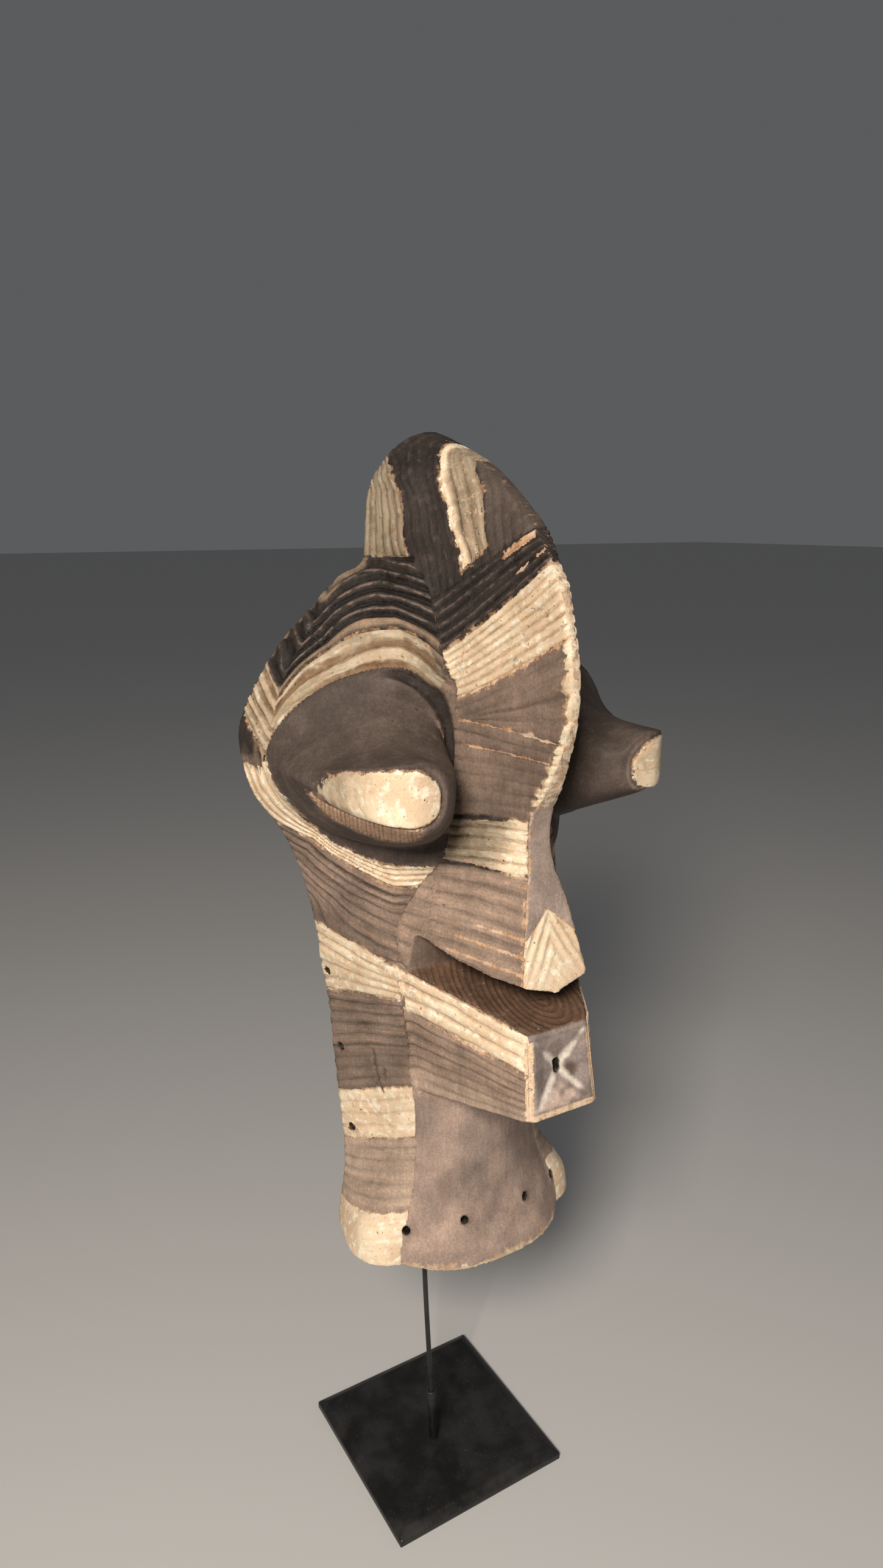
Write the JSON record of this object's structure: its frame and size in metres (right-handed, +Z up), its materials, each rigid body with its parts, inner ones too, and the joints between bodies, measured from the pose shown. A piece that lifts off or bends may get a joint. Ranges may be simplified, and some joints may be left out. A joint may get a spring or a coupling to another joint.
{
  "type": "carved wooden face mask on a rod stand",
  "caption": "Carved wooden face mask with a high crest, conical eyes, wedge nose and box mouth, on a thin rod over a square plate.",
  "frame": {"origin": "centre of the underside of the square plate, on the surface it stands on", "axes": "+Z up, -Y the way the face looks, +X to the right when facing the mask"},
  "size_m": [0.248, 0.204, 0.701],
  "materials": {
    "carved_wood": "dry, dark brown wood with worn bands of cream earth paint in the grooves",
    "black_rod": "blackened steel, satin",
    "black_socket": "blackened steel, satin",
    "black_plate": "blackened steel, satin, dusty, with a polished bevel"
  },
  "bodies": {
    "root": {"mask": "carved_wood", "stand_rod": "black_rod", "stand_socket": "black_socket", "stand_plate": "black_plate"}
  },
  "joints": []
}
